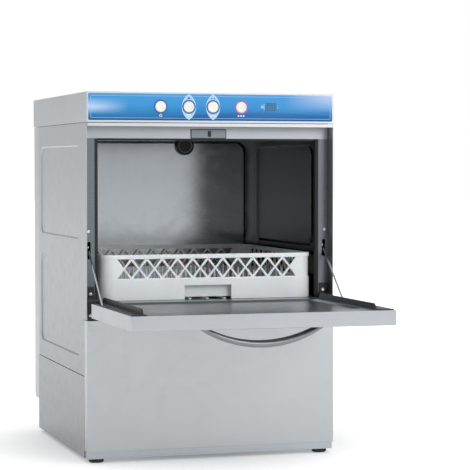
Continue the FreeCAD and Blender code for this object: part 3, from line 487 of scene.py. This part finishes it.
def circle(x, z, radius, count=40, start=0.0, sweep=360.0):
    """Points on a full circle, or on an arc with both its ends."""
    turns = range(count if sweep >= 360 else count + 1)
    return [(x + radius * math.cos(math.radians(start + sweep * k / count)),
             z + radius * math.sin(math.radians(start + sweep * k / count))) for k in turns]


def rounded(x0, x1, z0, z1, radius, per_corner=6):
    """The outline of a rectangle with round corners."""
    points = []
    for cx, cz, start in ((x1 - radius, z0 + radius, -90), (x1 - radius, z1 - radius, 0),
                          (x0 + radius, z1 - radius, 90), (x0 + radius, z0 + radius, 180)):
        points += circle(cx, cz, radius, per_corner, start, 90)
    return points


def almond(x, z, half_width, half_height, count=14):
    """A pointed oval of two arcs."""
    big = (half_height ** 2 + half_width ** 2) / (2 * half_width)
    reach = math.degrees(math.asin(half_height / big))
    right = circle(x + half_width - big, z, big, count, -reach, 2 * reach)
    left = circle(x - half_width + big, z, big, count, 180 - reach, 2 * reach)
    return right[:-1] + left[:-1]


def grown(outline, amount):
    """The outline pushed outwards from its own middle by about `amount`."""
    cx = sum(p[0] for p in outline) / len(outline)
    cz = sum(p[1] for p in outline) / len(outline)
    result = []
    for x, z in outline:
        away = Vector((x - cx, z - cz))
        away = away * (1 + amount / max(away.length, 1e-6))
        result.append((cx + away.x, cz + away.y))
    return result


def bridge(mesh, rings):
    """Joins each ring of vertices to the next one with four-sided faces."""
    for a, b in zip(rings, rings[1:]):
        for k in range(len(a)):
            n = (k + 1) % len(a)
            mesh.faces.new((a[k], a[n], b[n], b[k]))


def capped(mesh, rings):
    """A closed solid: the bridged rings with a face over the first and the last one."""
    bridge(mesh, rings)
    mesh.faces.new(rings[0])
    mesh.faces.new(rings[-1][::-1])


def face_outwards(mesh):
    bmesh.ops.recalc_face_normals(mesh, faces=mesh.faces)


def band_mesh(outer, inner, y0, y1, closed=True):
    """A flat band between two outlines of equal count, in mm, from depth y0 to y1 in metres."""
    mesh = bmesh.new()
    rows = []
    for outline, y in ((outer, y0), (inner, y0), (inner, y1), (outer, y1)):
        rows.append([mesh.verts.new((x * MM, y, z * MM)) for x, z in outline])
    count = len(outer)
    for k in range(count if closed else count - 1):
        n = (k + 1) % count
        for a, b in ((0, 1), (1, 2), (2, 3), (3, 0)):
            mesh.faces.new((rows[a][k], rows[b][k], rows[b][n], rows[a][n]))
    if not closed:
        mesh.faces.new([rows[r][0] for r in range(4)][::-1])
        mesh.faces.new([rows[r][-1] for r in range(4)])
    face_outwards(mesh)
    return mesh


def plate_mesh(outline, y0, y1):
    """A solid plate of that outline in X and Z, in mm, between two depths in metres."""
    mesh = bmesh.new()
    front = [mesh.verts.new((x * MM, y0, z * MM)) for x, z in outline]
    back = [mesh.verts.new((x * MM, y1, z * MM)) for x, z in outline]
    mesh.faces.new(front)
    mesh.faces.new(back[::-1])
    for k in range(len(outline)):
        n = (k + 1) % len(outline)
        mesh.faces.new((front[n], front[k], back[k], back[n]))
    face_outwards(mesh)
    return mesh


# ------------------------------------------------------------------ control panel print
BUTTON_NAMES = ("power_button", "cycle_button_1", "cycle_button_2", "start_button")
# Thickness of one layer of ink, in metres; the sizes below it are in mm
INK = 0.00012
RING_OUTER, RING_INNER = 15.6, 12.75
LEAF_HALF_WIDE, LEAF_HALF_TALL = 15.2, 27.5
LEAF_HOLE = 15.2


def centre_mm(node):
    low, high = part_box(node)
    return (low.x + high.x) / 2 / MM, (low.z + high.z) / 2 / MM


def ink_band(name, outer, inner, tone, lift=1.0, closed=True):
    """A printed band on the film; `lift` is its height in layers of ink."""
    mesh = band_mesh(outer, inner, FRONT_Y - INK * lift, FRONT_Y + INK, closed)
    piece(name, mesh, tone, "cabinet", False)


def ink_ring(name, x, z, outer, inner, tone, count=48, start=0.0, sweep=360.0, lift=1.0):
    big = circle(x, z, outer, count, start, sweep)
    small = circle(x, z, inner, count, start, sweep)
    ink_band(name, big, small, tone, lift, sweep >= 360)


def ink_plate(name, outline, tone, lift=1.0):
    mesh = plate_mesh(outline, FRONT_Y - INK * lift, FRONT_Y + INK)
    piece(name, mesh, tone, "cabinet", False)


def inset(low, high, amount, radius):
    """The panel's outline drawn in by `amount`, in mm."""
    return rounded(low.x + amount, high.x - amount, low.z + amount, high.z - amount, radius)


def print_panel():
    """Frame line, button rings, leaves and plain pictograms on the film; the deep-blue button rings
    are partly painted shadow.
    """
    low, high = PANEL_LOW / MM, PANEL_HIGH / MM
    ink_band("panel_line", inset(low, high, 4.5, 2.5), inset(low, high, 5.6, 1.6), "print_line")
    places = [centre_mm(name) for name in BUTTON_NAMES]
    for k, (x, z) in enumerate(places):
        # Deep-blue rings round the first three buttons: partly print, partly the buttons' painted
        # shadow; the violet ring at start is print
        tone = "print_violet" if BUTTON_NAMES[k] == "start_button" else "print_deep"
        ink_ring(f"button_ring_{k}", x, z, RING_OUTER, RING_INNER, tone, lift=3.0)
    for k in (1, 2):
        print_leaf(k, *places[k])
    print_plate_and_bowl(*places[1])
    print_two_glasses(*places[2])
    print_power_mark(*places[0])
    print_start_arrows(*places[3])
    print_display()


def print_leaf(k, x, z):
    """The pointed leaf behind a cycle button, with a round hole for the button's ring."""
    leaf = almond(x, z - 0.5, LEAF_HALF_WIDE, LEAF_HALF_TALL)
    around = []
    outer = []
    for px, pz in leaf:
        away = Vector((px - x, pz - z)).normalized() * LEAF_HOLE
        rx, rz = x + away.x, z + away.y
        around.append((rx, rz))
        # Where the leaf is narrower than the hole, a hair's breadth of band stays outside it
        narrow = math.hypot(px - x, pz - z) < LEAF_HOLE + 0.05
        outer.append((rx + (rx - x) * 0.004, rz + (rz - z) * 0.004) if narrow else (px, pz))
    ink_band(f"leaf_{k}", outer, around, "print_pale", 1.5)
    ink_band(f"leaf_edge_{k}", grown(leaf, 0.9), leaf, "print_white", 2)


def print_power_mark(x, z):
    ink_ring("mark_power", x, z - 19.5, 3.4, 2.5, "print_white", 24, 125, 290, 1.5)
    bar = rounded(x - 0.5, x + 0.5, z - 19.8, z - 15.4, 0.3, 3)
    ink_plate("mark_power_bar", bar, "print_white", 1.5)


def print_plate_and_bowl(x, z):
    triangle = [(x - 4, z + 17.5), (x + 4, z + 17.5), (x, z + 22.5)]
    ink_plate("mark_plate", triangle, "print_deep", 2.5)
    ink_ring("mark_bowl", x, z - 18.0, 4.6, 3.4, "print_white", 20, 180, 180, 2.5)
    rim = rounded(x - 5.4, x + 5.4, z - 18.2, z - 17.0, 0.4, 3)
    ink_plate("mark_bowl_rim", rim, "print_white", 2.5)


def print_two_glasses(x, z):
    for side in (-1, 1):
        cx = x + side * 3.2
        triangle = [(cx - 2.2, z + 17.5), (cx + 2.2, z + 17.5), (cx, z + 21)]
        ink_plate(f"mark_pair_{side + 1}", triangle, "print_deep", 2.5)
        cx = x + side * 4.4
        name = f"mark_glass_{side + 1}"
        ink_ring(name, cx, z - 18.0, 3.4, 2.4, "print_white", 16, 180, 180, 2.5)


def print_start_arrows(x, z):
    for k in range(3):
        at = x - 8 + k * 6
        arrow = [(at, z - 21.8), (at + 4.6, z - 19.5), (at, z - 17.2)]
        ink_plate(f"mark_start_{k}", arrow, "print_white", 1.5)


def print_display():
    """A small grid of dark cells on the window, and a dial mark and dots on both its sides."""
    low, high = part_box("display_lens")
    x0, x1, z0, z1 = low.x / MM, high.x / MM, low.z / MM, high.z / MM
    front = low.y
    columns, rows, gap = 6, 4, 0.9
    wide = (x1 - x0 - gap * (columns + 1)) / columns
    tall = (z1 - z0 - gap * (rows + 1)) / rows
    for c in range(columns):
        for r in range(rows):
            a, b = x0 + gap + c * (wide + gap), z0 + gap + r * (tall + gap)
            cell = rounded(a, a + wide, b, b + tall, 0.5, 3)
            mesh = plate_mesh(cell, front - INK, front + INK)
            piece(f"display_cell_{c}_{r}", mesh, "print_teal", "cabinet", False)
    middle = (z0 + z1) / 2
    ink_ring("mark_dial", x0 - 7.5, middle, 3.0, 2.1, "print_white", 20, 0, 360, 1.5)
    for k in range(3):
        dot = circle(x0 - 3.2, middle - 5 + 5 * k, 0.9, 12)
        ink_plate(f"mark_dot_{k}", dot, "print_white", 1.5)
        dot = circle(x1 + 3.2, middle - 3 + 3 * k, 0.6, 10)
        ink_plate(f"mark_dot_right_{k}", dot, "print_white", 1.5)


# ------------------------------------------------------------------ softened copies of nodes
def softened(node, material, width, body):
    """A copy of a CAD node with its edges rounded by `width` metres, which stands for it."""
    source = NODES[node]
    mesh = bmesh.new()
    mesh.from_mesh(source.data)
    bmesh.ops.remove_doubles(mesh, verts=mesh.verts, dist=1e-6)
    flat = math.radians(0.6)
    bmesh.ops.dissolve_limit(mesh, angle_limit=flat, verts=mesh.verts, edges=mesh.edges)
    made = piece(node + "_soft", mesh, material, body)
    bevel = made.modifiers.new("round", "BEVEL")
    bevel.width = width
    bevel.segments = 2
    bevel.limit_method = "ANGLE"
    bevel.angle_limit = math.radians(50)
    bevel.harden_normals = True
    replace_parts(made, node)


# ------------------------------------------------------------------ door handle and catch
BEAD_RADIUS = 0.0075


def handle_arc(half, drop, count=48):
    """Points in X and Z of an arc that hangs under the open door, in mm."""
    radius = (half ** 2 + drop ** 2) / (2 * drop)
    reach = math.degrees(math.asin(half / radius))
    return circle(0, DOOR_UNDER - drop + radius, radius, count, -90 - reach, 2 * reach)


def bead_section(front, back):
    """Share of the way from the outer to the inner arc, and depth: half a circle, then a box."""
    section = []
    for k in range(13):
        angle = math.pi * k / 12
        depth = front + BEAD_RADIUS - BEAD_RADIUS * math.sin(angle)
        section.append((0.5 - 0.5 * math.cos(angle), depth))
    section += [(1.0, back - 0.002), (0.92, back), (0.08, back), (0.0, back - 0.002)]
    return section


def formed_handle():
    """The bowed handle: a round bead in front, and a flat black strip on its inner face that paints
    the shade there.
    """
    low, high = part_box("door_handle")
    front, back = low.y, high.y
    outer, inner = handle_arc(*HANDLE_OUTER), handle_arc(*HANDLE_INNER)
    section = bead_section(front, back)
    # Painted shade: a flat black strip along the inner face of the bead
    strip = ((-0.6, front + 0.0055), (0.5, front + 0.0060),
             (0.5, back - 0.003), (-0.6, back - 0.003))
    bead, painted_shade_mesh = bmesh.new(), bmesh.new()
    bead_rings, painted_shade_rings = [], []
    for (ox, oz), (ix, iz) in zip(outer, inner):
        ring = []
        for t, y in section:
            ring.append(bead.verts.new(((ox + (ix - ox) * t) * MM, y, (oz + (iz - oz) * t) * MM)))
        bead_rings.append(ring)
        away = Vector((ix - ox, iz - oz)).normalized()
        ring = []
        for lift, y in strip:
            ring.append(painted_shade_mesh.verts.new(((ix + away.x * lift) * MM, y, (iz + away.y * lift) * MM)))
        painted_shade_rings.append(ring)
    for mesh, rings in ((bead, bead_rings), (painted_shade_mesh, painted_shade_rings)):
        capped(mesh, rings)
        face_outwards(mesh)
    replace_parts(piece("handle_bead", bead, "steel_handle", "door"), "door_handle")
    piece("handle_painted_shade_strip", painted_shade_mesh, "black_plastic", "door")


def catch_frame():
    """A dark band round the edge of the latch plate, and a rim round the slot in it."""
    low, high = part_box("latch_catch")
    x0, x1, z0, z1 = low.x / MM, high.x / MM, low.z / MM, high.z / MM
    front = low.y - 0.0003
    outer = rounded(x0 - 0.5, x1 + 0.5, z0 - 0.5, z1 + 0.5, 2.4)
    inner = rounded(x0 + 1.1, x1 - 1.1, z0 + 1.1, z1 - 1.1, 1.4)
    piece("catch_frame", band_mesh(outer, inner, front, high.y), "dark_steel", "cabinet")
    x, z = (x0 + x1) / 2 + 2.0, (z0 + z1) / 2
    outer = rounded(x - 4.2, x + 4.2, z - 6.8, z + 6.8, 1.6)
    inner = rounded(x - 2.0, x + 2.0, z - 4.7, z + 4.7, 0.8)
    mesh = band_mesh(outer, inner, front, low.y + 0.0002)
    piece("catch_slot_rim", mesh, "dark_steel", "cabinet")


# ------------------------------------------------------------------ many small copies in one mesh
def disc_field(name, places, radius, tall, material, inner=0.0, sides=10):
    """Low round bosses at places in mm, `tall` metres high; rings if `inner` is given."""
    mesh = bmesh.new()
    top = tall if inner else tall * 1.05
    for x, y, z in places:
        rings = []
        for r, lift in ((radius, 0.0), (radius * 0.9, tall), (inner, top)):
            ring = []
            for k in range(sides):
                a = 2 * math.pi * k / sides
                u, v = r * math.cos(a) * MM, r * math.sin(a) * MM
                ring.append(mesh.verts.new((x * MM + u, y * MM + v, z * MM + lift)))
            rings.append(ring)
        bridge(mesh, rings)
    bmesh.ops.remove_doubles(mesh, verts=mesh.verts, dist=1e-7)
    face_outwards(mesh)
    piece(name, mesh, material, "cabinet")


def strainer_bosses():
    """Rows of raised drain holes over the strainer tray, clear of its three openings."""
    low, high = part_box("tank_filter")
    margin, columns, rows = 22, 24, 22
    x0, x1 = low.x / MM + margin, high.x / MM - margin
    y0, y1 = low.y / MM + margin, high.y / MM - margin
    z = low.z / MM + 1.2
    openings = ((SPINDLE, 26), (SUMP_WELL, 54), (OVERFLOW, 23))
    places = []
    for i in range(columns):
        for j in range(rows):
            x = x0 + (x1 - x0) * (i + (j % 2) * 0.5) / (columns - 0.5)
            y = y0 + (y1 - y0) * j / (rows - 1)
            if all(math.hypot(x - cx, y - cy - ROW_SHIFT_Y) > r for (cx, cy), r in openings):
                places.append((x, y, z))
    disc_field("strainer_rings", places, 4.2, 0.0009, "steel_dull", 2.6)
    # The dark discs paint the shade inside the drain holes
    disc_field("strainer_holes", places, 2.6, 0.0003, "dark_steel")


def nozzle_slots(node, z_side):
    """A dark slot in every nozzle of a spray arm, painted shade for the opening, found from the
    arm's own corners.
    """
    corners = [v.co for v in NODES[node].data.vertices]
    limit = max(c.z for c in corners) if z_side > 0 else min(c.z for c in corners)
    mesh = bmesh.new()
    for group in cluster([c for c in corners if abs(c.z - limit) < 0.0002], 0.010):
        middle = sum(group, Vector()) / len(group)
        x, y = middle.x / MM, middle.y / MM
        slot = rounded(x - 2.6, x + 2.6, y - 0.8, y + 0.8, 0.7, 4)
        below, above = limit - 0.0002 * z_side, limit + 0.00015 * z_side
        lower = [mesh.verts.new((px * MM, py * MM, below)) for px, py in slot]
        upper = [mesh.verts.new((px * MM, py * MM, above)) for px, py in slot]
        mesh.faces.new(upper)
        bridge(mesh, (lower, upper))
    face_outwards(mesh)
    piece(node + "_slots", mesh, "dark_steel", node, False)


def cluster(points, reach):
    """Groups of points that lie within `reach` of the first point of their group."""
    groups = []
    for point in points:
        for group in groups:
            if (group[0] - point).length < reach:
                group.append(point)
                break
        else:
            groups.append([point])
    return groups


# Radius in mm and height in metres, from the rim inwards
BUTTON_PROFILE = ((10.6, -0.0002), (9.8, 0.00045), (8.8, 0.0005), (8.0, 0.0002), (5.0, 0.0),
                  (0.01, -0.0001))
RIVET_PROFILE = ((2.0, -0.0002), (1.9, 0.0006), (1.4, 0.0012), (0.6, 0.0015))


def turned_rings(mesh, profile, x, y, z, sides, facing):
    """Rings of a turned shape about an axis along Y; facing is -1 for the front, 1 for the back."""
    rings = []
    for radius, lift in profile:
        outline = circle(x, z, radius, sides)
        rings.append([mesh.verts.new((px * MM, y + facing * lift, pz * MM)) for px, pz in outline])
    bridge(mesh, rings)
    return rings


def button_faces():
    """A raised rim and a shallow dish on every push button."""
    for name in BUTTON_NAMES:
        x, z = centre_mm(name)
        mesh = bmesh.new()
        turned_rings(mesh, BUTTON_PROFILE, x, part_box(name)[0].y, z, 40, -1)
        bmesh.ops.remove_doubles(mesh, verts=mesh.verts, dist=2e-5)
        face_outwards(mesh)
        piece(name + "_rim", mesh, "button_plastic", name)


def vent_rings():
    """Two raised rings and a hub in the recess of the vent cap."""
    x, z = centre_mm("vent_cap")
    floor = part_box("vent_cap")[0].y + 0.002
    # The raised rings are modelled; the outer ring's lighter grey is a painted highlight
    rings = ((17.2, 15.6, 0.0016, "grey_plastic"), (11.5, 9.8, 0.0012, "black_plastic"),
             (5.5, 0.6, 0.0016, "black_plastic"))
    for k, (outer, inner, lift, tone) in enumerate(rings):
        big, small = circle(x, z, outer, 40), circle(x, z, inner, 40)
        mesh = band_mesh(big, small, floor - lift, floor + 0.0002)
        piece(f"vent_ring_{k}", mesh, tone, "cabinet")


def foot_ribs():
    """Grip ribs round the rubber foot of every leg."""
    ribs = 28
    mesh = bmesh.new()
    for cx in (-FOOT_X, FOOT_X):
        for cy in (FOOT_FRONT + ROW_SHIFT_Y, FOOT_BACK + ROW_SHIFT_Y):
            for k in range(ribs):
                a = 2 * math.pi * k / ribs
                add_rib(mesh, Vector((cx, cy)), Vector((math.cos(a), math.sin(a))))
    face_outwards(mesh)
    piece("foot_ribs", mesh, "black_rubber", "cabinet", False)


def add_rib(mesh, centre, out):
    """One upright rib, wide at its root and narrow outside; its root face stays open."""
    side = Vector((-out.y, out.x))
    corners = []
    for z in (2.6, 8.4):
        for reach, half in ((15.8, 0.9), (16.7, 0.4)):
            for sign in (-1, 1):
                at = centre + out * reach + side * half * sign
                corners.append(mesh.verts.new((at.x * MM, at.y * MM, z * MM)))
    for face in ((0, 1, 3, 2), (4, 6, 7, 5), (2, 3, 7, 6), (0, 2, 6, 4), (1, 5, 7, 3)):
        mesh.faces.new([corners[i] for i in face])


def rear_plate():
    """A blank data plate with printed bars, on four rivets."""
    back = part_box("rear_cover")[1].y
    sheet = plate_mesh(rounded(-262, -150, 300, 372, 3), back - 0.0002, back + 0.0006)
    piece("data_plate", sheet, "steel_pale", "cabinet")
    field = plate_mesh(rounded(-258, -154, 304, 368, 2), back - 0.0002, back + 0.0008)
    piece("data_plate_field", field, "white_plastic", "cabinet")
    rivets = [(x, z) for x in (-259.5, -152.5) for z in (302.5, 369.5)]
    for k, (x, z) in enumerate(rivets):
        mesh = bmesh.new()
        mesh.faces.new(turned_rings(mesh, RIVET_PROFILE, x, back, z, 16, 1)[-1])
        face_outwards(mesh)
        piece(f"data_plate_rivet_{k}", mesh, "steel_rod", "cabinet")
    for k in range(4):
        line = rounded(-250, -176 + 10 * (k % 2), 312 + 13 * k, 319 + 13 * k, 1.5, 3)
        mesh = plate_mesh(line, back, back + 0.0009)
        piece(f"data_plate_line_{k}", mesh, "grey_plastic", "cabinet")


def slot_lips():
    """A pressed lip over every air slot of the rear cover."""
    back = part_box("rear_cover")[1].y
    reach_out, drop_out = 0.004, 0.003
    ends = ((-SLOT_HALF, 0.0), (6 - SLOT_HALF, 1.0), (SLOT_HALF - 6, 1.0), (SLOT_HALF, 0.0))
    mesh = bmesh.new()
    for row in range(SLOT_ROWS):
        z = (SLOT_LOWEST + row * SLOT_PITCH + SLOT_TALL) * MM
        for x in (-SLOT_X, SLOT_X):
            rings = []
            for dx, share in ends:
                reach, drop = reach_out * share, drop_out * share
                section = ((back - 0.0004, z + 0.0012), (back + reach, z - drop),
                           (back + reach * 0.9, z - 0.0008 - drop), (back - 0.0004, z - 0.0002))
                rings.append([mesh.verts.new(((x + dx) * MM, py, pz)) for py, pz in section])
            capped(mesh, rings)
    face_outwards(mesh)
    piece("slot_lips", mesh, "steel_pale", "cabinet", False)


# ------------------------------------------------------------------ build
make_camera()
make_stage()
make_light()
MATERIALS = make_materials()
dress_nodes(MATERIALS)
print_panel()
formed_handle()
catch_frame()
strainer_bosses()
for level, z_side in (("lower", 1), ("upper", -1)):
    nozzle_slots(level + "_wash_arm", z_side)
    nozzle_slots(level + "_rinse_arm", z_side)
button_faces()
vent_rings()
foot_ribs()
rear_plate()
slot_lips()
softened("rack_walls", "rack_plastic", 0.0007, "rack")
softened("top_cover", "steel_wall", 0.0007, "cabinet")
softened("door_outer_skin", "steel_door", 0.0006, "door")
softened("front_lower_panel", "steel_wall", 0.0006, "cabinet")
softened("front_trim_rail", "steel_trim", 0.0005, "cabinet")

bpy.context.scene.view_settings.view_transform = "Standard"
